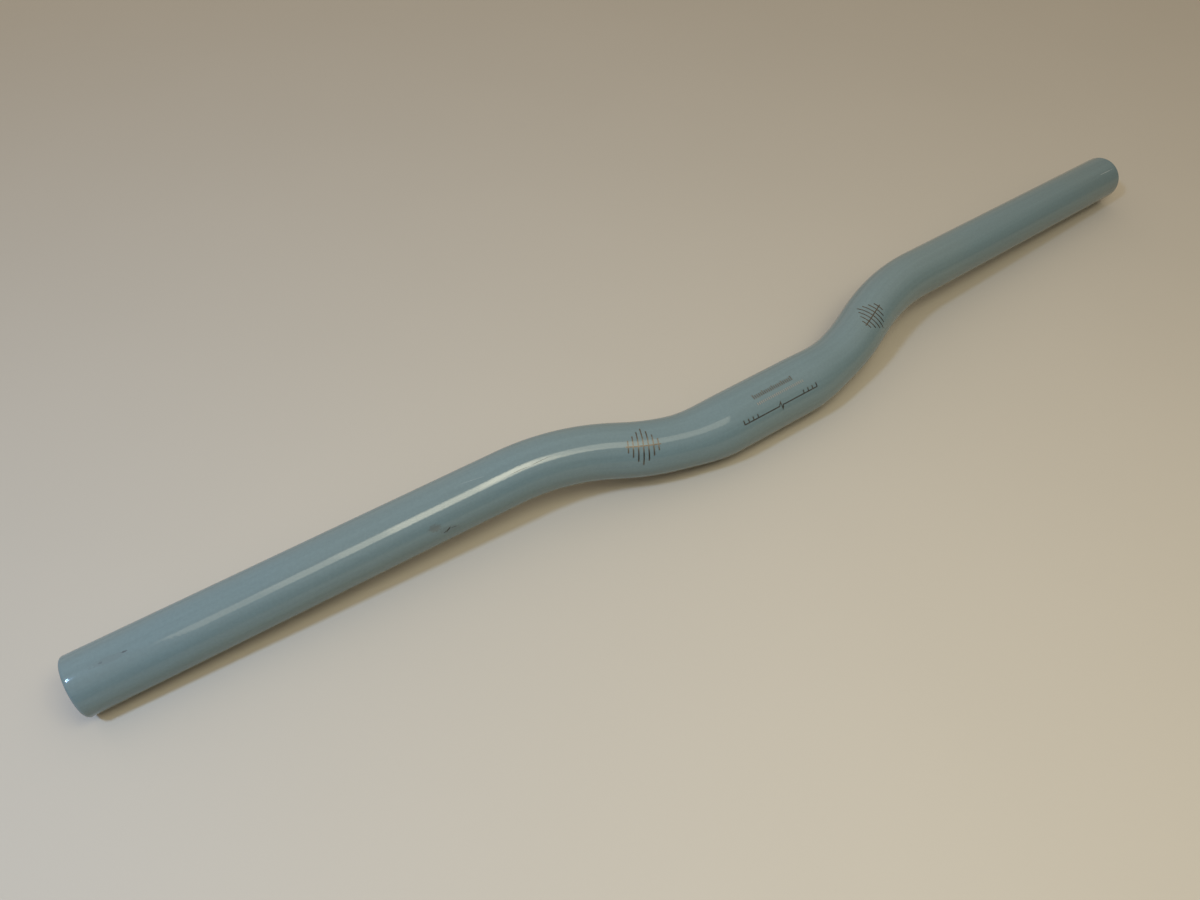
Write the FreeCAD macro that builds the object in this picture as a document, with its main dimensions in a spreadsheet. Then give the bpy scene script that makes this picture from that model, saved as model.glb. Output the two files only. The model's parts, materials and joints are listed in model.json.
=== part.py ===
"""Riser handlebar: one aluminium tube, thick in the middle, bent up and back on each side.

The tube is described the way a tube bender is set: from the middle outwards, by straight lengths, bend radii,
bend angles and the twist between the two bend planes. One half is drawn along a chain of frames, each with its
Z axis along the tube, and is then mirrored. In the body's own axes X runs along the clamped middle, Y is the
rise and Z is the front. The body leans about X until the middle and both ends lie on one flat surface. The
origin is the centre of the clamped middle.
"""
import FreeCAD, Part
import math
import os
import Sketcher
from FreeCAD import Placement, Rotation, Vector

NODE = "handlebar"

# Driving dimensions, in millimetres and degrees
SIZES = (
    ("clamp_diameter", 25.4, "outside diameter of the middle, where a stem clamps"),
    ("clamp_length", 39.0, "straight length of the middle at that diameter"),
    ("clamp_wall", 2.4, "wall of the tube in the middle"),
    ("taper_length", 26.0, "run along the tube in which the diameter and the wall change"),
    ("grip_diameter", 22.2, "outside diameter from the end of the taper to the tip"),
    ("grip_wall", 2.2, "wall of the tube from the end of the taper to the tip"),
    ("lower_bend_radius", 110.0, "radius of the bend beside the middle, at the tube's centre line"),
    ("lower_bend_angle", 23.8, "turn of that bend, up from the middle"),
    ("leg_length", 6.2, "straight length between the two bends"),
    ("sweep_twist", 10.4, "turn of the second bend's plane about the leg, away from a flat S"),
    ("upper_bend_radius", 110.0, "radius of the second bend, at the tube's centre line"),
    ("upper_bend_angle", 22.2, "turn of the second bend, back out towards the tip"),
    ("grip_length", 158.9, "straight length from the second bend to the tip"),
    ("lip_radius", 1.4, "rounding of the tip's outer edge"),
    ("mouth_chamfer", 0.4, "chamfer of the tip's inner edge"),
)

# Shares of the taper's run at which a section of the tube is drawn
TAPER_STEPS = (0.0, 0.25, 0.5, 0.75, 1.0)

CLAMP_OUTER = "sizes.clamp_diameter"
CLAMP_BORE = "(sizes.clamp_diameter - 2 * sizes.clamp_wall)"
GRIP_OUTER = "sizes.grip_diameter"
GRIP_BORE = "(sizes.grip_diameter - 2 * sizes.grip_wall)"
LOWER_RADIUS = "sizes.lower_bend_radius"
UPPER_RADIUS = "sizes.upper_bend_radius"
TAPER_TURN = "(sizes.taper_length / sizes.lower_bend_radius * 1 rad)"
PLAIN_TURN = "(sizes.lower_bend_angle * 1 deg - " + TAPER_TURN + ")"
UPPER_TURN = "(sizes.upper_bend_angle * 1 deg)"

ALONG_TUBE = Vector(0, 0, 1)
BEND_AXIS = Vector(0, 1, 0)
ORIGIN_POINT = (-1, 1)
HORIZONTAL_AXIS = -1
START, END, CENTRE = 1, 2, 3


def add_sheet(doc):
    """Puts the driving dimensions in a spreadsheet: name, value and what it is."""
    sheet = doc.addObject("Spreadsheet::Sheet", "sizes")
    for row, (name, value, note) in enumerate(SIZES, start=1):
        sheet.set("A%d" % row, name)
        sheet.set("B%d" % row, str(value))
        sheet.set("C%d" % row, note)
        sheet.setAlias("B%d" % row, name)
    doc.recompute()


def add_frame(body, name, support, axis=ALONG_TUBE, x="0", z="0", angle="0"):
    """Adds a frame that is moved by x and z from its support's frame and turned by an angle about an axis."""
    frame = body.newObject("PartDesign::CoordinateSystem", name)
    frame.AttachmentSupport = [(support, "")]
    frame.MapMode = "ObjectXY"
    frame.AttachmentOffset = Placement(Vector(), Rotation(axis, 1.0))
    frame.setExpression("AttachmentOffset.Base.x", x)
    frame.setExpression("AttachmentOffset.Base.z", z)
    frame.setExpression("AttachmentOffset.Rotation.Angle", angle)
    return frame


def add_bend_frame(body, name, support, radius, turn):
    """Adds the frame in which a bend of this radius, towards its support's +X, ends after this turn."""
    reach = "%s * (1 - cos(%s))" % (radius, turn)
    run = "%s * sin(%s)" % (radius, turn)
    return add_frame(body, name, support, BEND_AXIS, x=reach, z=run, angle=turn)


def add_sketch(body, name, frame, plane):
    """Adds an empty sketch on one of a frame's planes."""
    sketch = body.newObject("Sketcher::SketchObject", name)
    sketch.AttachmentSupport = [(frame, "")]
    sketch.MapMode = plane
    return sketch


def bind(sketch, name, expression, kind, *where):
    """Adds a dimension to a sketch and ties it to an expression."""
    index = sketch.addConstraint(Sketcher.Constraint(kind, *where))
    sketch.renameConstraint(index, name)
    sketch.setExpression("Constraints." + name, expression)


def relate(sketch, kind, *where):
    """Adds a geometric constraint to a sketch."""
    sketch.addConstraint(Sketcher.Constraint(kind, *where))


def add_ring(body, name, frame, outer, bore, bend_radius=None):
    """Draws the tube's section across a frame, with the axis of the bend that leaves it, if one does."""
    sketch = add_sketch(body, name, frame, "ObjectXY")
    for label, diameter, first_radius in (("outer", outer, 12.0), ("bore", bore, 9.0)):
        circle = sketch.addGeometry(Part.Circle(Vector(), ALONG_TUBE, first_radius), False)
        relate(sketch, "Coincident", circle, CENTRE, *ORIGIN_POINT)
        bind(sketch, label, diameter, "Diameter", circle, 2 * first_radius)
    if bend_radius:
        axis = sketch.addGeometry(Part.LineSegment(Vector(100, 0, 0), Vector(100, 10, 0)), True)
        relate(sketch, "Vertical", axis)
        relate(sketch, "PointOnObject", axis, START, HORIZONTAL_AXIS)
        bind(sketch, "bend_radius", bend_radius, "DistanceX", *ORIGIN_POINT, axis, START, 100.0)
        bind(sketch, "axis_length", outer, "DistanceY", axis, START, axis, END, 10.0)
    return sketch


def add_straight(body, name, ring, length):
    """Carries a ring straight along the tube."""
    straight = body.newObject("PartDesign::Pad", name)
    straight.Profile = ring
    straight.setExpression("Length", length)


def add_bend(body, name, ring, turn):
    """Turns a ring about the bend axis in its sketch."""
    bend = body.newObject("PartDesign::Revolution", name)
    bend.Profile = ring
    bend.ReferenceAxis = (ring, ["Axis0"])
    bend.setExpression("Angle", turn)


def add_taper(body, start):
    """Carries the section round the first part of the lower bend while it shrinks along a soft S curve.

    Returns the frame at the taper's end.
    """
    path = add_sketch(body, "taper_path", start, "ObjectXZ")
    circle = Part.Circle(Vector(100, 0, 0), ALONG_TUBE, 100.0)
    arc = path.addGeometry(Part.ArcOfCircle(circle, math.pi - 0.2, math.pi), False)
    relate(path, "Coincident", arc, END, *ORIGIN_POINT)
    relate(path, "PointOnObject", arc, CENTRE, HORIZONTAL_AXIS)
    bind(path, "radius", LOWER_RADIUS, "Radius", arc, 100.0)
    bind(path, "turn", TAPER_TURN, "Angle", arc, 0.2)

    rings = []
    for step in TAPER_STEPS:
        name = "taper_%d" % round(100 * step)
        frame = add_bend_frame(body, name + "_frame", start, LOWER_RADIUS, "(%s * %s)" % (step, TAPER_TURN))
        shrunk = step * step * (3 - 2 * step)
        outer = "%s + (%s - %s) * %s" % (CLAMP_OUTER, GRIP_OUTER, CLAMP_OUTER, shrunk)
        bore = "%s + (%s - %s) * %s" % (CLAMP_BORE, GRIP_BORE, CLAMP_BORE, shrunk)
        rings.append(add_ring(body, name + "_ring", frame, outer, bore))

    taper = body.newObject("PartDesign::AdditivePipe", "taper")
    taper.Profile = rings[0]
    taper.Sections = [(ring, [""]) for ring in rings[1:]]
    taper.Spine = (path, ["Edge1"])
    taper.Transformation = "Multisection"
    return frame


def add_grip(body, start):
    """Turns the wall's long section about the grip's own axis: plain tube, rounded lip, chamfered mouth."""
    radius, bore, length, lip, mouth = 11.0, 9.0, 100.0, 1.2, 0.4
    sketch = add_sketch(body, "grip_wall_section", start, "ObjectXZ")
    lip_circle = Part.Circle(Vector(radius - lip, length - lip, 0), ALONG_TUBE, lip)
    outline = [
        Part.LineSegment(Vector(bore, 0, 0), Vector(radius, 0, 0)),
        Part.LineSegment(Vector(radius, 0, 0), Vector(radius, length - lip, 0)),
        Part.ArcOfCircle(lip_circle, 0, math.pi / 2),
        Part.LineSegment(Vector(radius - lip, length, 0), Vector(bore + mouth, length, 0)),
        Part.LineSegment(Vector(bore + mouth, length, 0), Vector(bore, length - mouth, 0)),
        Part.LineSegment(Vector(bore, length - mouth, 0), Vector(bore, 0, 0)),
    ]
    foot, outside, lip_arc, face, chamfer, inside = sketch.addGeometry(outline, False)
    for one, other in ((foot, outside), (face, chamfer), (chamfer, inside), (inside, foot)):
        relate(sketch, "Coincident", one, END, other, START)
    for one, other in ((outside, lip_arc), (lip_arc, face)):
        relate(sketch, "Tangent", one, END, other, START)
    relate(sketch, "Horizontal", face)
    relate(sketch, "Vertical", outside)
    relate(sketch, "Vertical", inside)
    relate(sketch, "PointOnObject", foot, START, HORIZONTAL_AXIS)
    relate(sketch, "PointOnObject", foot, END, HORIZONTAL_AXIS)
    bind(sketch, "bore_radius", GRIP_BORE + " / 2", "DistanceX", *ORIGIN_POINT, foot, START, bore)
    bind(sketch, "outer_radius", GRIP_OUTER + " / 2", "DistanceX", *ORIGIN_POINT, foot, END, radius)
    bind(sketch, "length", "sizes.grip_length", "DistanceY", *ORIGIN_POINT, face, START, length)
    bind(sketch, "lip_radius", "sizes.lip_radius", "Radius", lip_arc, lip)
    bind(sketch, "mouth_width", "sizes.mouth_chamfer", "DistanceX", chamfer, END, chamfer, START, mouth)
    bind(sketch, "mouth_depth", "sizes.mouth_chamfer", "DistanceY", chamfer, END, chamfer, START, mouth)

    grip = body.newObject("PartDesign::Revolution", "grip")
    grip.Profile = sketch
    grip.ReferenceAxis = (sketch, ["V_Axis"])


def add_handlebar(doc):
    """Builds one side of the tube from the middle to the tip, mirrors it and lays the bar down."""
    body = doc.addObject("PartDesign::Body", NODE)
    planes = {item.Role: item for item in body.Origin.OriginFeatures}
    mirror_plane = planes["YZ_Plane"]

    middle = add_frame(body, "middle_frame", mirror_plane)
    middle_ring = add_ring(body, "middle_ring", middle, CLAMP_OUTER, CLAMP_BORE)
    add_straight(body, "middle", middle_ring, "sizes.clamp_length / 2")

    taper_start = add_frame(body, "taper_start_frame", middle, z="sizes.clamp_length / 2")
    taper_end = add_taper(body, taper_start)

    lower_ring = add_ring(body, "lower_bend_ring", taper_end, GRIP_OUTER, GRIP_BORE, LOWER_RADIUS)
    add_bend(body, "lower_bend", lower_ring, PLAIN_TURN)

    leg_start = add_bend_frame(body, "leg_start_frame", taper_end, LOWER_RADIUS, PLAIN_TURN)
    leg_ring = add_ring(body, "leg_ring", leg_start, GRIP_OUTER, GRIP_BORE)
    add_straight(body, "leg", leg_ring, "sizes.leg_length")

    leg_end = add_frame(body, "leg_end_frame", leg_start, z="sizes.leg_length",
                        angle="180 deg + sizes.sweep_twist * 1 deg")
    upper_ring = add_ring(body, "upper_bend_ring", leg_end, GRIP_OUTER, GRIP_BORE, UPPER_RADIUS)
    add_bend(body, "upper_bend", upper_ring, UPPER_TURN)

    grip_start = add_bend_frame(body, "grip_start_frame", leg_end, UPPER_RADIUS, UPPER_TURN)
    add_grip(body, grip_start)
    doc.recompute()

    both_sides = body.newObject("PartDesign::Mirrored", "both_sides")
    both_sides.TransformMode = "Whole shape"
    both_sides.MirrorPlane = (mirror_plane, [""])
    body.Tip = both_sides

    add_frame(body, "lip_frame", grip_start, z="sizes.grip_length - sizes.lip_radius")
    rise, front = "lip_frame.Placement.Base.y", "lip_frame.Placement.Base.z"
    drop = "(%s - %s) / 2 * 1 mm" % (GRIP_OUTER, CLAMP_OUTER)
    lean = "asin(%s / sqrt(%s ^ 2 + %s ^ 2)) - atan2(%s; %s)" % (drop, rise, front, front, rise)
    body.Placement = Placement(Vector(), Rotation(Vector(1, 0, 0), 1.0))
    body.setExpression("Placement.Rotation.Angle", lean)
    doc.recompute()
    return body


def check(doc, body):
    """Stops if an object failed, or if the bar isn't one valid solid."""
    failed = [item.Name for item in doc.Objects if {"Invalid", "Error"} & set(item.State)]
    if failed:
        raise RuntimeError("failed: " + ", ".join(failed))
    shape = body.Shape
    if shape.isNull() or not shape.isValid() or len(shape.Solids) != 1:
        raise RuntimeError("the bar is not one valid solid")


def main():
    doc = FreeCAD.newDocument("riser_handlebar")
    add_sheet(doc)
    body = add_handlebar(doc)
    check(doc, body)
    box = body.Shape.BoundBox
    print("lean %.3f degrees" % math.degrees(body.Placement.Rotation.Angle))
    print("box X %.2f to %.2f" % (box.XMin, box.XMax))
    print("box Y %.2f to %.2f" % (box.YMin, box.YMax))
    print("box Z %.2f to %.2f" % (box.ZMin, box.ZMax))
    print("volume %.1f cubic millimetres" % body.Shape.Volume)
    for name in ("leg_start_frame", "leg_end_frame", "grip_start_frame", "lip_frame"):
        place = body.Placement * doc.getObject(name).Placement
        print(name, place.Base, place.Rotation.multVec(ALONG_TUBE))
    os.makedirs("parts", exist_ok=True)
    body.Shape.exportStep("parts/%s.step" % NODE)


main()
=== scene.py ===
"""A riser handlebar: one bent tube in gloss paint, with printed setting marks, lying on a pale table top."""

import json
import math

import bpy
import numpy as np
from mathutils import Matrix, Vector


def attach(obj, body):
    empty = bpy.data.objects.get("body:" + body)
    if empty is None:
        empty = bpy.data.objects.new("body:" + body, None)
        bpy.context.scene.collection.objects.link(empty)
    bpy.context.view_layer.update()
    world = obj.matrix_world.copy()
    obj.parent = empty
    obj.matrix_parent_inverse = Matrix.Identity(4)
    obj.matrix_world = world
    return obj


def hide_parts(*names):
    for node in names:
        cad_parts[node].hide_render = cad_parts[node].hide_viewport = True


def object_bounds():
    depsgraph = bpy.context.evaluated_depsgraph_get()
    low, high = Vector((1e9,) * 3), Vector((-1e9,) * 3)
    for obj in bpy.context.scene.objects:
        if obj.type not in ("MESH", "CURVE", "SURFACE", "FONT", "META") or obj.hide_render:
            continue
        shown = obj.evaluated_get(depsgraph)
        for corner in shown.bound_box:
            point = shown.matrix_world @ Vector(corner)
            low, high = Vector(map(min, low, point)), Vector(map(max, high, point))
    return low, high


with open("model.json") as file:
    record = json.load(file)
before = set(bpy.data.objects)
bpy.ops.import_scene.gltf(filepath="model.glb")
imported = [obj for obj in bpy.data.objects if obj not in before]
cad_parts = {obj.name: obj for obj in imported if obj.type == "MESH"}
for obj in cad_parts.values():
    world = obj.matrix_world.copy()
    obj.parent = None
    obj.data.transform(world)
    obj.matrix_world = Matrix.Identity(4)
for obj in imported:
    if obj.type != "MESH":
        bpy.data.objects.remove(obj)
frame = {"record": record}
cad_low, cad_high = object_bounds()

MM = 0.001

# Sizes that the frame gives
mounts = {mount["name"]: mount for mount in frame["record"]["mounts"]}
CLAMP_RADIUS = mounts["stem_clamp"]["dims"]["r_mm"] * MM
CLAMP_HALF = mounts["stem_clamp"]["dims"]["length_mm"] / 2 * MM
SEAT_RADIUS = mounts["right_grip_seat"]["dims"]["r_mm"] * MM
SEAT_LENGTH = mounts["right_grip_seat"]["dims"]["length_mm"] * MM
SEAT_AXIS = np.array(mounts["right_grip_seat"]["axis"], float)
SEAT_START = np.array(mounts["right_grip_seat"]["pos_m"], float) - SEAT_AXIS * SEAT_LENGTH / 2
BORE_RADIUS = mounts["right_end_bore"]["dims"]["r_mm"] * MM
BORE_LENGTH = mounts["right_end_bore"]["dims"]["length_mm"] * MM
FLOOR = cad_low.z

# Sizes of the tube that no mount gives
BEND_RADIUS = 110 * MM
TAPER_LENGTH = 26 * MM
LIP_RADIUS = 1.4 * MM
CLAMP_WALL = 2.4 * MM
GRIP_WALL = SEAT_RADIUS - BORE_RADIUS
GRIP_LENGTH = SEAT_LENGTH + LIP_RADIUS
MOUTH_ROUND = GRIP_LENGTH - BORE_LENGTH

# How finely the tube is divided: faces round it, rings in each stretch of a half, points of each edge
AROUND = 128
SKIN_RINGS = (8, 34, 4, 30, 40)
BORE_RINGS = (4, 12, 2, 12, 40)
LIP_POINTS = 10
FLAT_POINTS = 2
MOUTH_POINTS = 7
BARE_MOUTH_POINTS = 3
SHARP_EDGE = math.radians(40)

# Where the rule for the two turns starts, in radians, and how often it is repeated
FIRST_TURN = 0.4
TURN_ROUNDS = 400

# The flat map of the tube: length along it and length round it from the top
FLAT_MAP = "run_and_round"

X = np.array([1.0, 0.0, 0.0])
Z = np.array([0.0, 0.0, 1.0])


def unit(vectors):
    """Vectors divided by their own lengths."""
    return vectors / np.linalg.norm(vectors, axis=-1, keepdims=True)


def smooth_step(x):
    """Three x squared minus two x cubed, with x held between 0 and 1."""
    x = np.clip(x, 0, 1)
    return x * x * (3 - 2 * x)


def find_leg():
    """Direction and length of the slanting leg, and the two turns, lower and upper.

    Each bend takes up radius times tan(half its turn) of the straights on both sides of its corner. The
    lower corner lies that far past the clamp zone, the upper one that far before the grip seat, and the leg
    points from the one to the other. The turns follow from the leg, so the rule is repeated until it stands
    still.
    """
    lower = upper = FIRST_TURN
    for _ in range(TURN_ROUNDS):
        lower_corner = X * (CLAMP_HALF + BEND_RADIUS * math.tan(lower / 2))
        upper_corner = SEAT_START - SEAT_AXIS * BEND_RADIUS * math.tan(upper / 2)
        leg = unit(upper_corner - lower_corner)
        lower = (lower + math.acos(leg @ X)) / 2
        upper = (upper + math.acos(leg @ SEAT_AXIS)) / 2
    length = np.linalg.norm(upper_corner - lower_corner)
    length -= BEND_RADIUS * (math.tan(lower / 2) + math.tan(upper / 2))
    return leg, length, lower, upper


LEG, LEG_LENGTH, LOWER_TURN, UPPER_TURN = find_leg()
LOWER_SIDE = unit(LEG - X * (LEG @ X))
UPPER_SIDE = unit(SEAT_AXIS - LEG * (SEAT_AXIS @ LEG))
LEG_RUN = CLAMP_HALF + BEND_RADIUS * LOWER_TURN
UPPER_RUN = LEG_RUN + LEG_LENGTH
SEAT_RUN = UPPER_RUN + BEND_RADIUS * UPPER_TURN
END_RUN = SEAT_RUN + GRIP_LENGTH


def centre_line(run):
    """Points and directions of the tube's centre line at signed lengths from its middle.

    The line is a sum of five stretches, each of which grows from nothing to its full length in turn: half
    the clamp zone, the lower bend, the leg, the upper bend and the grip. A bend adds radius times (sine of
    the turn along the old direction plus one minus its cosine towards the bend's centre). Left of the middle
    it is mirrored.
    """
    far = np.abs(run)[..., None]
    side = np.where(run < 0, -1.0, 1.0)[..., None]
    lower = np.clip((far - CLAMP_HALF) / BEND_RADIUS, 0, LOWER_TURN)
    upper = np.clip((far - UPPER_RUN) / BEND_RADIUS, 0, UPPER_TURN)
    at = np.clip(far, 0, CLAMP_HALF) * X
    at = at + BEND_RADIUS * (np.sin(lower) * X + (1 - np.cos(lower)) * LOWER_SIDE)
    at = at + np.clip(far - LEG_RUN, 0, LEG_LENGTH) * LEG
    at = at + BEND_RADIUS * (np.sin(upper) * LEG + (1 - np.cos(upper)) * UPPER_SIDE)
    at = at + np.clip(far - SEAT_RUN, 0, None) * SEAT_AXIS
    along = np.where(upper > 0, np.cos(upper) * LEG + np.sin(upper) * UPPER_SIDE,
                     np.cos(lower) * X + np.sin(lower) * LOWER_SIDE)
    at = at * np.concatenate([side, np.ones_like(side), np.ones_like(side)], -1)
    along = along * np.concatenate([np.ones_like(side), side, side], -1)
    return at, along


def taper_share(run):
    """Share of the way from clamp to grip: a smooth step of the length past the clamp zone over the taper."""
    return smooth_step((np.abs(run) - CLAMP_HALF) / TAPER_LENGTH)


def outer_radius(run):
    """Clamp radius in the middle, going to the grip radius by the share of the taper."""
    return CLAMP_RADIUS + (SEAT_RADIUS - CLAMP_RADIUS) * taper_share(run)


def wall(run):
    """Clamp wall in the middle, going to the grip wall by the share of the taper."""
    return CLAMP_WALL + (GRIP_WALL - CLAMP_WALL) * taper_share(run)


def round_the_tube(run, turn, radius):
    """Points at a radius from the centre line: cosine of the turn upwards plus its sine towards the front."""
    at, along = centre_line(run)
    up = unit(Z - along * along[..., 2:3])
    front = np.cross(along, up)
    turn = turn[..., None]
    return at + radius[..., None] * (np.cos(turn) * up + np.sin(turn) * front)


def make_piece(name, points, faces, finish, corner_places=None, finish_of_face=None):
    """A mesh object at the origin from whole arrays, smooth apart from its sharp edges."""
    mesh = bpy.data.meshes.new(name)
    mesh.from_pydata(points.reshape(-1, 3).tolist(), [], faces.tolist())
    for material in finish:
        mesh.materials.append(material)
    if finish_of_face is not None:
        mesh.polygons.foreach_set("material_index", finish_of_face.astype(np.int32))
    if corner_places is not None:
        layer = mesh.uv_layers.new(name=FLAT_MAP)
        layer.uv.foreach_set("vector", corner_places.astype(np.float32).ravel())
    mesh.shade_smooth()
    mesh.set_sharp_from_angle(angle=SHARP_EDGE)
    mesh.update()
    piece = bpy.data.objects.new(name, mesh)
    bpy.context.scene.collection.objects.link(piece)
    return piece


def half_runs(rings):
    """Lengths along the right half where rings stand, evenly spaced in each stretch.

    The stretches are half the clamp zone, the lower bend, the leg, the upper bend and the grip up to its lip.
    """
    stops = [0, CLAMP_HALF, LEG_RUN, UPPER_RUN, SEAT_RUN, END_RUN - LIP_RADIUS]
    parts = [np.linspace(a, b, n, endpoint=False) for a, b, n in zip(stops[:-1], stops[1:], rings)]
    return np.concatenate(parts + [[stops[-1]]])


def wall_profile():
    """Run, radius and side (0 painted, 1 bare bore) of the wall's closed section, left to right and back.

    The painted skin runs from one lip to the other, each lip is a quarter circle that falls to the flat end,
    and a smaller quarter circle leads from the flat end into the bore, which runs back through the tube. The
    inner part of that smaller quarter is bare too.
    """
    skin = half_runs(SKIN_RINGS)
    lip = np.linspace(0, math.pi / 2, LIP_POINTS)
    lip_run = END_RUN - LIP_RADIUS + LIP_RADIUS * np.sin(lip)
    lip_radius = SEAT_RADIUS - LIP_RADIUS + LIP_RADIUS * np.cos(lip)
    flat_radius = np.linspace(SEAT_RADIUS - LIP_RADIUS, BORE_RADIUS + MOUTH_ROUND, FLAT_POINTS + 2)[1:-1]
    mouth = np.linspace(0, math.pi / 2, MOUTH_POINTS)
    mouth_run = END_RUN - MOUTH_ROUND + MOUTH_ROUND * np.cos(mouth)
    mouth_radius = BORE_RADIUS + MOUTH_ROUND - MOUTH_ROUND * np.sin(mouth)
    bore = half_runs(BORE_RINGS)
    bore = bore[bore < END_RUN - 2 * MOUTH_ROUND][::-1]
    run = np.concatenate([skin, lip_run[1:], np.full(FLAT_POINTS, END_RUN), mouth_run, bore])
    radius = np.concatenate([outer_radius(skin), lip_radius[1:], flat_radius, mouth_radius,
                             outer_radius(bore) - wall(bore)])
    bare = np.zeros(len(run))
    bare[len(run) - len(bore) - BARE_MOUTH_POINTS:] = 1
    left = slice(-2, 0, -1)
    return (np.concatenate([run, -run[left]]), np.concatenate([radius, radius[left]]),
            np.concatenate([bare, bare[left]]))


def make_tube(finish):
    """The whole wall as one closed skin: each point of its section carried round the bent centre line."""
    run, radius, bare = wall_profile()
    rings = len(run)
    turn = np.linspace(-math.pi, math.pi, AROUND, endpoint=False)
    points = round_the_tube(*np.broadcast_arrays(run[:, None], turn[None, :], radius[:, None]))
    ring = np.arange(rings)[:, None]
    spoke = np.arange(AROUND)[None, :]
    ring_after = (ring + 1) % rings
    spoke_after = (spoke + 1) % AROUND
    corners = [(ring, spoke), (ring, spoke_after), (ring_after, spoke_after), (ring_after, spoke)]
    faces = [np.broadcast_to(a * AROUND + b, (rings, AROUND)) for a, b in corners]
    faces = np.stack(faces, -1).reshape(-1, 4)
    step = 2 * math.pi / AROUND
    turns = [turn[None, :] + step * k for k in (0, 1, 1, 0)]
    places = [np.broadcast_arrays(run[a], t * radius[a]) for (a, _), t in zip(corners, turns)]
    places = np.stack([np.stack(p, -1) for p in places], 2).reshape(-1, 2)
    bare_face = np.broadcast_to(np.minimum(bare[ring], bare[ring_after]), (rings, AROUND)).ravel()
    return make_piece("handlebar_tube", points, faces, finish, places, bare_face)


# How far a print stands out of the paint and reaches into it, and how finely its strokes are cut
PRINT_RISE = 0.03 * MM
PRINT_SINK = 0.06 * MM
PRINT_STEP = 0.5 * MM

# Strokes of the prints in flat mm: along the bar and round it, with ticks as place and height
SCALE_LINE = [(-19.6, 0), (-1.2, 0), (-0.15, -1.5), (0.25, 1.5), (1.0, -0.15), (1.6, 0), (19.6, 0)]
SCALE_LINE_WIDTH = 0.42
SCALE_TICKS = [(12.3, 1.6), (14.75, 1.6), (17.1, 1.6), (19.4, 1.9)]
SCALE_TICK_WIDTH = 0.48
RULE_PITCH = 1
RULE_LONG_EVERY = 5
MARK_LINE = [(-7, 0), (7, 0)]
MARK_TICKS = [(-6, 2.4), (-4, 4.2), (-2, 6.0), (0, 7.6), (2, 6.0), (4, 4.2), (6, 2.4)]
MARK_WIDTH = 0.5

# Where each print lies: run in mm from the middle, turn in degrees from the top towards the front
SCALE_PLACE = (0, 52.65)
FINE_RULE_PLACE = (0, 20.0)
FADED_RULE_PLACE = (0, 32.5)
LEFT_MARK_PLACE = (-61.5, 36.5)
RIGHT_MARK_PLACE = (66.5, 22.0)


def printed_stroke(path, width, place):
    """Points and faces of one flat printed stroke, closed all round, laid on the tube.

    The path is given in flat millimetres along the bar and round it. It is widened to both sides with mitred
    corners, cut into short steps, and every point (u, v) goes to the place's run plus u and to its turn plus
    v over the radius.
    """
    run, turn = place
    path = np.array(path, float) * MM
    way = unit(np.diff(path, axis=0))
    beside = np.stack([-way[:, 1], way[:, 0]], -1)
    before = np.concatenate([beside[:1], beside])
    after = np.concatenate([beside, beside[-1:]])
    mitre = (before + after) / (1 + (before * after).sum(-1, keepdims=True))
    edges = np.stack([path + mitre * width * MM / 2, path - mitre * width * MM / 2], 1)
    length = np.linalg.norm(np.diff(path, axis=0), axis=1)
    steps = np.maximum(1, np.ceil(length / PRINT_STEP).astype(int))
    knots = np.concatenate([i + np.arange(n) / n for i, n in enumerate(steps)] + [[len(steps)]])
    whole = np.arange(len(path))
    sides = [np.stack([np.interp(knots, whole, edges[:, i, k]) for k in (0, 1)], -1) for i in (0, 1)]
    edges = np.stack(sides, 1)
    ring = edges[:, [0, 1, 1, 0]]
    rise = np.array([PRINT_RISE, PRINT_RISE, -PRINT_SINK, -PRINT_SINK])
    at_run = run * MM + ring[..., 0]
    radius = outer_radius(at_run)
    points = round_the_tube(at_run, math.radians(turn) + ring[..., 1] / radius, radius + rise)
    count = len(knots)
    here = np.arange(count - 1)[:, None] * 4
    corner = np.arange(4)[None, :]
    next_corner = (corner + 1) % 4
    faces = np.stack([here + corner, here + 4 + corner, here + 4 + next_corner, here + next_corner], -1)
    last = 4 * (count - 1)
    caps = np.array([[0, 1, 2, 3], [last + 3, last + 2, last + 1, last]])
    return points.reshape(-1, 3), np.concatenate([faces.reshape(-1, 4), caps])


def make_print(name, strokes, place, finish):
    """Several printed strokes, each a path and a width, joined into one piece."""
    made = [printed_stroke(path, width, place) for path, width in strokes]
    counts = np.cumsum([0] + [len(points) for points, _ in made])
    points = np.concatenate([points for points, _ in made])
    faces = np.concatenate([faces + start for (_, faces), start in zip(made, counts)])
    return make_piece(name, points, faces, [finish])


def centring_strokes():
    """A line along the clamp zone with a break sign in its middle, and ticks up from it near each end."""
    strokes = [(SCALE_LINE, SCALE_LINE_WIDTH)]
    for place, height in SCALE_TICKS:
        for side in (-1, 1):
            tick = [(side * place, -SCALE_LINE_WIDTH / 2), (side * place, -height)]
            strokes.append((tick, SCALE_TICK_WIDTH))
    return strokes


def rule_strokes(first, last, height, long_height, width):
    """Ticks at an even pitch from first to last, every fifth one longer."""
    places = np.arange(first, last + RULE_PITCH / 2, RULE_PITCH)
    heights = np.where(np.arange(len(places)) % RULE_LONG_EVERY == 0, long_height, height)
    return [([(x, 0), (x, -h)], width) for x, h in zip(places, heights)]


def setting_strokes():
    """A short line along the bar, crossed by ticks that are taller towards its middle."""
    strokes = [(MARK_LINE, MARK_WIDTH)]
    for place, height in MARK_TICKS:
        for side in (-1, 1):
            strokes.append(([(place, side * MARK_WIDTH / 2), (place, side * height)], MARK_WIDTH))
    return strokes


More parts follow.
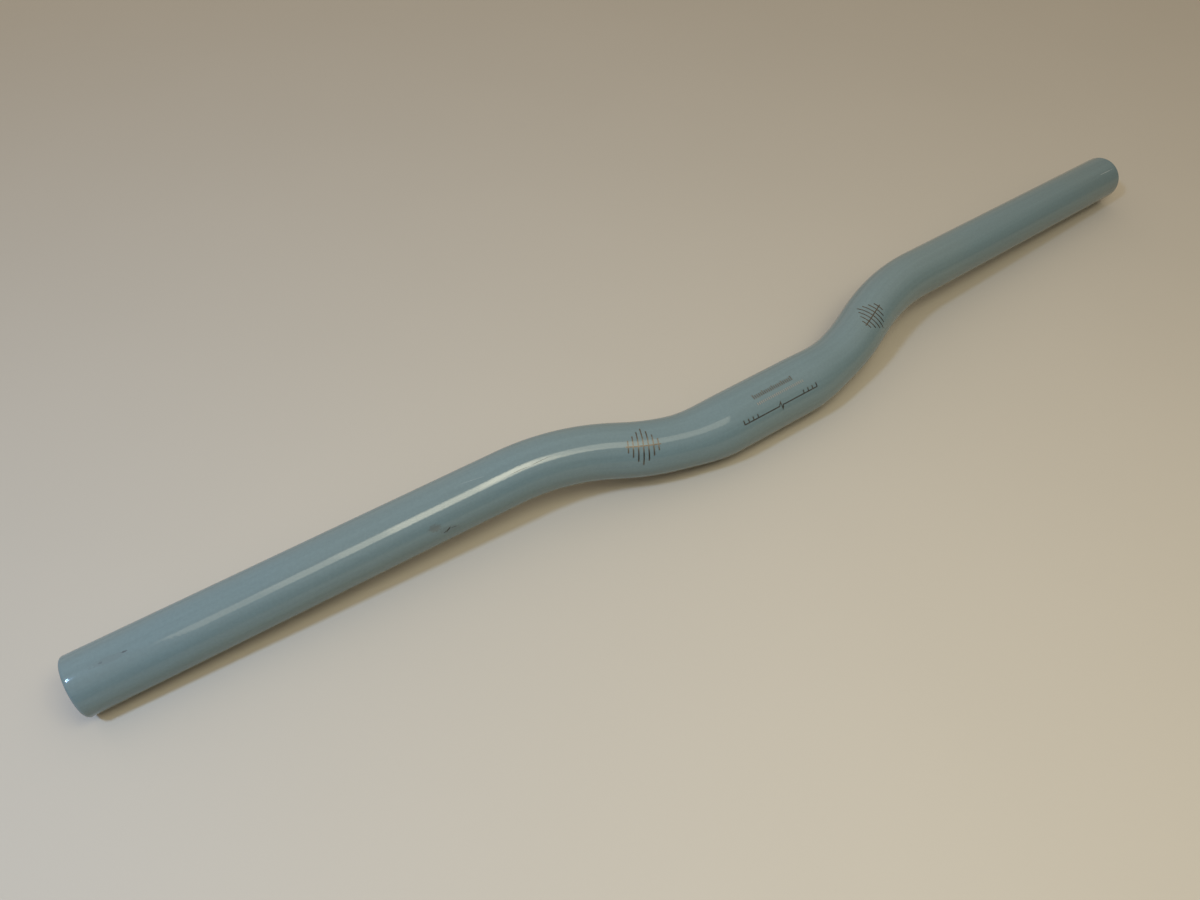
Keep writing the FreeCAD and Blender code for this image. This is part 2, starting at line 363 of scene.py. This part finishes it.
def node(tree, kind, inputs=None, **settings):
    """A shader node with its settings, and each input linked to a socket or set to a value."""
    made = tree.nodes.new(kind)
    for name, value in settings.items():
        setattr(made, name, value)
    for key, value in (inputs or {}).items():
        if isinstance(value, bpy.types.NodeSocket):
            tree.links.new(value, made.inputs[key])
        else:
            made.inputs[key].default_value = value
    return made


def new_material(name):
    """An empty node material, its tree and its output node."""
    material = bpy.data.materials.new(name)
    material.use_nodes = True
    material.node_tree.nodes.clear()
    return material, material.node_tree, material.node_tree.nodes.new("ShaderNodeOutputMaterial")


def math_node(tree, operation, *values):
    """The result socket of one sum."""
    return node(tree, "ShaderNodeMath", dict(enumerate(values)), operation=operation).outputs[0]


def ramp(tree, value, low, high, start=0.0, end=1.0):
    """A value eased from one range to another, held at its ends."""
    return node(tree, "ShaderNodeMapRange", {0: value, 1: low, 2: high, 3: start, 4: end},
                interpolation_type="SMOOTHSTEP").outputs[0]


def mix(tree, share, first, second):
    """Two colours mixed by a share."""
    return node(tree, "ShaderNodeMix", {0: share, 6: first, 7: second}, data_type="RGBA").outputs[2]


def noise(tree, place, scale, detail=3.0, roughness=0.5):
    """Soft noise between 0 and 1."""
    return node(tree, "ShaderNodeTexNoise", {"Vector": place, "Scale": scale, "Detail": detail,
                                             "Roughness": roughness}).outputs[0]


def stretched(tree, place, scale):
    """A place multiplied by three scales, for a pattern that is longer one way."""
    return node(tree, "ShaderNodeMapping", {"Vector": place, "Scale": scale}).outputs[0]


# Marks of use on the paint: run mm, turn degrees, half length mm, half width mm, slant degrees, strength
DARK_MARKS = [
    (-143.4, 79.5, 1.3, 0.40, -36, 1.0),
    (-141.0, 80.0, 1.6, 0.24, 8, 0.55),
    (-144.6, 81.5, 0.9, 0.30, -20, 0.8),
    (-253.3, 20.0, 1.0, 0.34, 8, 0.75),
    (-260.8, 19.8, 0.9, 0.32, 4, 0.35),
    (-111.2, 34.6, 4.8, 0.17, 1, 0.6),
    (-101.8, 32.2, 5.0, 0.17, -6, 0.7),
]
DULL_MARKS = [
    (-143.0, 80.0, 5.0, 1.8, 15, 0.35),
    (-258.0, 21.0, 7.0, 1.2, 4, 0.3),
]
STAIN_MARKS = [
    (-147.8, 64.5, 2.6, 1.6, 10, 0.6),
]
PALE_MARKS = [
    (262.0, 32.2, 6.5, 0.15, 1, 0.75),
    (-128.0, 12.0, 5.0, 0.08, 8, 0.3),
]

# Where a mark ends and where it is full, as shares of its ellipse, and how ragged its edge is
MARK_END = 1.1
MARK_FULL = 0.55
MARK_RAGGED = 1.3


def marks_share(tree, place, marks, wobble):
    """How much of any of these marks lies at a place: each fades out across the edge of a ragged ellipse."""
    total = None
    for run, turn, half_length, half_width, slant, strength in marks:
        across = math.radians(turn) * float(outer_radius(np.array(run * MM)))
        flat = node(tree, "ShaderNodeMapping", {
            "Vector": place, "Location": (run * MM, across, 0), "Rotation": (0, 0, math.radians(slant)),
            "Scale": (half_length * MM, half_width * MM, 1)}, vector_type="TEXTURE").outputs[0]
        reach = node(tree, "ShaderNodeVectorMath", {0: flat}, operation="LENGTH").outputs["Value"]
        ragged = math_node(tree, "ADD", reach, wobble)
        share = ramp(tree, ragged, MARK_END, MARK_FULL, 0.0, strength)
        total = share if total is None else math_node(tree, "MAXIMUM", total, share)
    return total


# Colours of the paint, its marks of use, the metal, the prints and the table
PAINT = (0.138, 0.199, 0.208, 1)
PAINT_COOL = (0.134, 0.199, 0.213, 1)
PAINT_WARM = (0.142, 0.199, 0.203, 1)
SCUFF = (0.035, 0.038, 0.036, 1)
DULLED = (0.105, 0.130, 0.130, 1)
STAIN = (0.115, 0.126, 0.116, 1)
SCRATCH = (0.42, 0.46, 0.45, 1)
DRAWN_METAL = (0.40, 0.405, 0.41, 1)
BARE_METAL = (0.58, 0.585, 0.59, 1)
DARK_FOIL = ((0.12, 0.11, 0.095, 1), (0.17, 0.155, 0.13, 1))
FADED_FOIL = ((0.235, 0.205, 0.175, 1), (0.175, 0.205, 0.195, 1))
TABLE = ((0.464, 0.424, 0.350, 1), (0.484, 0.442, 0.366, 1))

# How fine the patterns are, in waves per metre, along and round the bar where they differ
DRIFT_WAVES = 14.0
SPECKLE_WAVES = 900.0
RAGGED_WAVES = 1500.0
PEEL_WAVES = 620.0
RUBBING_WAVES = (60.0, 2600.0, 1.0)
STREAK_WAVES = (9.0, 420.0, 1.0)
DRAWN_WAVES = (25.0, 1800.0, 1.0)
BORE_MOTTLE_WAVES = 120.0
FOIL_WAVES = 700.0
TABLE_WAVES = 9.0

# How glossy and how deep the paint is: roughness when clean and rubbed, and what marks add to it
PAINT_IOR = 1.55
CLEAN_ROUGH = 0.06
RUBBED_ROUGH = 0.11
DULL_ROUGHER = 0.06
SCUFF_ROUGHER = 0.12
PEEL_DEPTH = 0.01 * MM
DRAWN_DEPTH = 0.02 * MM
TABLE_ROUGH = 0.6

# Paint dust inside the mouths: where it starts to thin, where it ends, how ragged that is, how dense
DUST_FULL = 4 * MM
DUST_END = 12 * MM
DUST_RAGGED = 6 * MM
DUST_COVER = 0.9


def paint_finish():
    """Gloss paint: broad drift of tone, speckle, faint lengthwise streaks, marks of use, orange peel.

    The tone drifts between cool and warm, is multiplied by speckle and streaks, and goes towards the colour
    of each kind of mark by its share. Marks add to the roughness, and scuffs are sunk by the peel's depth.
    """
    material, tree, output = new_material("gloss_paint")
    solid = node(tree, "ShaderNodeTexCoord").outputs["Object"]
    flat = node(tree, "ShaderNodeUVMap", uv_map=FLAT_MAP).outputs[0]
    drift = ramp(tree, noise(tree, solid, DRIFT_WAVES, 2.0), 0.3, 0.7)
    speckle = noise(tree, solid, SPECKLE_WAVES, 2.0)
    rubbing = noise(tree, stretched(tree, flat, RUBBING_WAVES), 1.0, 4.0, 0.65)
    streaks = noise(tree, stretched(tree, flat, STREAK_WAVES), 1.0, 3.0, 0.6)
    ragged = math_node(tree, "SUBTRACT", noise(tree, solid, RAGGED_WAVES), 0.5)
    ragged = math_node(tree, "MULTIPLY", ragged, MARK_RAGGED)
    dark = marks_share(tree, flat, DARK_MARKS, ragged)
    dull = marks_share(tree, flat, DULL_MARKS, ragged)
    stain = marks_share(tree, flat, STAIN_MARKS, ragged)
    pale = marks_share(tree, flat, PALE_MARKS, ragged)
    value = ramp(tree, speckle, 0.25, 0.75, 0.97, 1.03)
    value = math_node(tree, "MULTIPLY", value, ramp(tree, streaks, 0.3, 0.7, 0.965, 1.035))
    tone = mix(tree, drift, PAINT_COOL, PAINT_WARM)
    tone = node(tree, "ShaderNodeHueSaturation", {"Value": value, "Color": tone}).outputs[0]
    tone = mix(tree, ramp(tree, rubbing, 0.62, 0.80, 0.0, 0.10), tone, DULLED)
    tone = mix(tree, dull, tone, DULLED)
    tone = mix(tree, stain, tone, STAIN)
    tone = mix(tree, pale, tone, SCRATCH)
    tone = mix(tree, dark, tone, SCUFF)
    rough = ramp(tree, rubbing, 0.35, 0.8, CLEAN_ROUGH, RUBBED_ROUGH)
    rough = math_node(tree, "ADD", rough, math_node(tree, "MULTIPLY", dull, DULL_ROUGHER))
    rough = math_node(tree, "ADD", rough, math_node(tree, "MULTIPLY", dark, SCUFF_ROUGHER))
    peel = noise(tree, solid, PEEL_WAVES, 2.0, 0.4)
    height = math_node(tree, "SUBTRACT", peel, dark)
    bump = node(tree, "ShaderNodeBump", {"Strength": 1.0, "Distance": PEEL_DEPTH, "Height": height})
    shader = node(tree, "ShaderNodeBsdfPrincipled", {
        "Base Color": tone, "Roughness": rough, "IOR": PAINT_IOR, "Normal": bump.outputs[0]})
    tree.links.new(shader.outputs[0], output.inputs[0])
    return material


def bore_finish():
    """Bare drawn aluminium inside the tube: dull, streaked lengthwise, with paint dust at both mouths.

    The dust thins with the depth from the tip, plus a mottle that makes its end ragged.
    """
    material, tree, output = new_material("bare_bore")
    solid = node(tree, "ShaderNodeTexCoord").outputs["Object"]
    flat = node(tree, "ShaderNodeUVMap", uv_map=FLAT_MAP).outputs[0]
    streaks = noise(tree, stretched(tree, flat, DRAWN_WAVES), 1.0, 4.0, 0.6)
    mottle = noise(tree, solid, BORE_MOTTLE_WAVES)
    run = node(tree, "ShaderNodeSeparateXYZ", {0: flat}).outputs[0]
    depth = math_node(tree, "SUBTRACT", END_RUN, math_node(tree, "ABSOLUTE", run))
    reach = math_node(tree, "ADD", depth, math_node(tree, "MULTIPLY", mottle, DUST_RAGGED))
    dusted = ramp(tree, reach, DUST_FULL, DUST_END, DUST_COVER, 0.0)
    tone = mix(tree, ramp(tree, streaks, 0.3, 0.7), DRAWN_METAL, BARE_METAL)
    tone = mix(tree, dusted, tone, PAINT)
    rough = ramp(tree, mottle, 0.3, 0.7, 0.42, 0.58)
    metal = math_node(tree, "SUBTRACT", 1.0, dusted)
    bump = node(tree, "ShaderNodeBump", {"Strength": 1.0, "Distance": DRAWN_DEPTH, "Height": streaks})
    shader = node(tree, "ShaderNodeBsdfPrincipled", {
        "Base Color": tone, "Roughness": rough, "Metallic": metal, "Normal": bump.outputs[0]})
    tree.links.new(shader.outputs[0], output.inputs[0])
    return material


def print_finish(name, colours, metallic):
    """Printed foil between two colours: patchy where the print has thinned."""
    material, tree, output = new_material(name)
    solid = node(tree, "ShaderNodeTexCoord").outputs["Object"]
    patch = noise(tree, solid, FOIL_WAVES, 3.0, 0.6)
    tone = mix(tree, ramp(tree, patch, 0.35, 0.75), *colours)
    rough = ramp(tree, patch, 0.3, 0.7, 0.28, 0.42)
    shader = node(tree, "ShaderNodeBsdfPrincipled", {
        "Base Color": tone, "Roughness": rough, "Metallic": metallic})
    tree.links.new(shader.outputs[0], output.inputs[0])
    return material


gloss_paint = paint_finish()
bare_bore = bore_finish()
dark_foil = print_finish("dark_foil", DARK_FOIL, 1.0)
faded_foil = print_finish("faded_foil", FADED_FOIL, 0.0)

tube = make_tube([gloss_paint, bare_bore])
centring_scale = make_print("centring_scale", centring_strokes(), SCALE_PLACE, dark_foil)
fine_rule = make_print("fine_rule", rule_strokes(-10, 10, 1.7, 2.2, 0.5), FINE_RULE_PLACE, dark_foil)
faded_rule = make_print("faded_rule", rule_strokes(-10, 14, 1.1, 1.1, 0.45), FADED_RULE_PLACE, faded_foil)
left_mark = make_print("left_setting_mark", setting_strokes(), LEFT_MARK_PLACE, dark_foil)
right_mark = make_print("right_setting_mark", setting_strokes(), RIGHT_MARK_PLACE, dark_foil)

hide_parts("handlebar")
for piece in (tube, centring_scale, fine_rule, faded_rule, left_mark, right_mark):
    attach(piece, "root")

TABLE_HALF = 6.0


def make_floor():
    """A flat square table top under the bar, in a plain pale finish with a faint mottle."""
    corners = [(-TABLE_HALF, -TABLE_HALF), (TABLE_HALF, -TABLE_HALF), (TABLE_HALF, TABLE_HALF),
               (-TABLE_HALF, TABLE_HALF)]
    points = np.array([(x, y, FLOOR) for x, y in corners])
    material, tree, output = new_material("pale_table")
    solid = node(tree, "ShaderNodeTexCoord").outputs["Object"]
    mottle = noise(tree, solid, TABLE_WAVES, 4.0)
    tone = mix(tree, mottle, *TABLE)
    shader = node(tree, "ShaderNodeBsdfPrincipled", {"Base Color": tone, "Roughness": TABLE_ROUGH})
    tree.links.new(shader.outputs[0], output.inputs[0])
    return make_piece("table_top", points, np.array([[0, 1, 2, 3]]), [material])


make_floor()


def add_light(name, place, facing, size, watts, colour, spread=180):
    """A rectangular soft light at a place, turned to face a point, that fills a cone of so many degrees."""
    back = unit(np.array(place, float) - np.array(facing, float))
    right = unit(np.cross(np.array([0.0, 1.0, 0.0]), back))
    up = np.cross(back, right)
    lamp = bpy.data.lights.new(name, "AREA")
    lamp.shape = "RECTANGLE"
    lamp.size = size[0]
    lamp.size_y = size[1]
    lamp.energy = watts
    lamp.color = colour
    lamp.spread = math.radians(spread)
    light = bpy.data.objects.new(name, lamp)
    bpy.context.scene.collection.objects.link(light)
    turned = np.stack([right, up, back], 1)
    light.matrix_world = Matrix.Translation(place) @ Matrix(turned.tolist()).to_4x4()


def add_panel(name, x, y, height, strength, colour):
    """A level soft light that shines straight down, between two x and two y values.

    Its watts are strength times pi times its area, so that panels of one strength are equally bright.
    """
    wide = x[1] - x[0]
    deep = y[1] - y[0]
    place = ((x[0] + x[1]) / 2, (y[0] + y[1]) / 2, height)
    below = (place[0], place[1], 0.0)
    add_light(name, place, below, (wide, deep), strength * math.pi * wide * deep, colour)


# The window: where it is and what it faces in metres, its sides in metres, watts, spread in degrees
WINDOW_PLACE = (-0.622, -0.033, 0.769)
WINDOW_FACING = (-0.3, 0.02, 0)
WINDOW_SIZE = (0.095, 0.095)
WINDOW_WATTS = 2.04
WINDOW_SPREAD = 120
WINDOW_LIGHT = (0.383, 0.598, 1.0)

# The lamp over the front: level panels, each a little lower, as two x values, two y values, strength, colour
LAMP_LIGHT = (1.0, 0.922, 0.676)
LAMP_EDGE_LIGHT = (0.98, 0.94, 0.75)
LAMP_HEIGHT = 0.5
LAMP_STEP_DROP = 0.01
LAMP_STEPS = [
    ((-0.36, 0.21), (-0.38, -0.145), 1.5, LAMP_EDGE_LIGHT),
    ((-0.27, 0.105), (-0.37, -0.13), 0.75, LAMP_EDGE_LIGHT),
    ((-0.205, 0.030), (-0.355, -0.11), 1.1, LAMP_LIGHT),
    ((-0.155, 0.006), (-0.32, -0.10), 2.4, LAMP_LIGHT),
    ((-0.065, -0.012), (-0.258, -0.095), 2.75, LAMP_LIGHT),
]
add_light("window", WINDOW_PLACE, WINDOW_FACING, WINDOW_SIZE, WINDOW_WATTS, WINDOW_LIGHT, WINDOW_SPREAD)
for step, (x, y, strength, colour) in enumerate(LAMP_STEPS):
    add_panel("lamp_step_%d" % step, x, y, LAMP_HEIGHT - LAMP_STEP_DROP * step, strength, colour)

# How bright the room's faces are, and between which rises of the direction the ceiling eases in
FRONT_WALL = (0.151, 0.132, 0.106, 1)
BACK_WALL = (0.645, 0.564, 0.453, 1)
LEFT_WALL = (0.301, 0.263, 0.211, 1)
RIGHT_WALL = (0.179, 0.157, 0.126, 1)
CEILING = (0.692, 0.605, 0.485, 1)
CEILING_START = 0.25
CEILING_FULL = 0.9
LEAST_LEVEL = 0.0001


def make_room():
    """Soft light from four walls and a ceiling.

    From wall to wall the tone goes by the squared part of the level direction, which adds up to one: front
    or back by y squared, left or right by x squared. The ceiling eases in as the direction rises.
    """
    world = bpy.data.worlds.new("room")
    bpy.context.scene.world = world
    world.use_nodes = True
    tree = world.node_tree
    direction = node(tree, "ShaderNodeTexCoord").outputs["Generated"]
    x, y, z = node(tree, "ShaderNodeSeparateXYZ", {0: direction}).outputs
    x_square = math_node(tree, "MULTIPLY", x, x)
    y_square = math_node(tree, "MULTIPLY", y, y)
    level_square = math_node(tree, "ADD", math_node(tree, "ADD", x_square, y_square), LEAST_LEVEL)
    along = mix(tree, math_node(tree, "GREATER_THAN", y, 0.0), FRONT_WALL, BACK_WALL)
    across = mix(tree, math_node(tree, "GREATER_THAN", x, 0.0), LEFT_WALL, RIGHT_WALL)
    walls = mix(tree, math_node(tree, "DIVIDE", y_square, level_square), across, along)
    tone = mix(tree, ramp(tree, z, CEILING_START, CEILING_FULL), walls, CEILING)
    tree.links.new(tone, tree.nodes["Background"].inputs["Color"])
    tree.nodes["Background"].inputs["Strength"].default_value = 1.0


make_room()

# The camera: where it stood for the photograph, in metres, radians and the photograph's own pixels
EYE = (-0.212748, -0.186945, 0.274208)
AZIMUTH = -0.608836
PITCH = 0.833924
ROLL = -0.005326
FOCAL_PIXELS = 931.985907
PHOTO_WIDTH = 1200
SENSOR = 36.0
NEAREST = 0.01

camera = bpy.data.objects.new("camera", bpy.data.cameras.new("camera"))
bpy.context.scene.collection.objects.link(camera)
camera.data.sensor_fit = "HORIZONTAL"
camera.data.sensor_width = SENSOR
camera.data.lens = SENSOR * FOCAL_PIXELS / PHOTO_WIDTH
camera.data.clip_start = NEAREST
level_ahead = np.array([-math.sin(AZIMUTH), math.cos(AZIMUTH), 0.0])
ahead = level_ahead * math.cos(PITCH) - Z * math.sin(PITCH)
level = np.array([math.cos(AZIMUTH), math.sin(AZIMUTH), 0.0])
below = np.cross(ahead, level)
axis_x = math.cos(ROLL) * level + math.sin(ROLL) * below
axis_y = math.sin(ROLL) * level - math.cos(ROLL) * below
turned = np.stack([axis_x, axis_y, -ahead], 1)
camera.matrix_world = Matrix.Translation(EYE) @ Matrix(turned.tolist()).to_4x4()
bpy.context.scene.camera = camera
bpy.context.scene.view_settings.view_transform = "Standard"
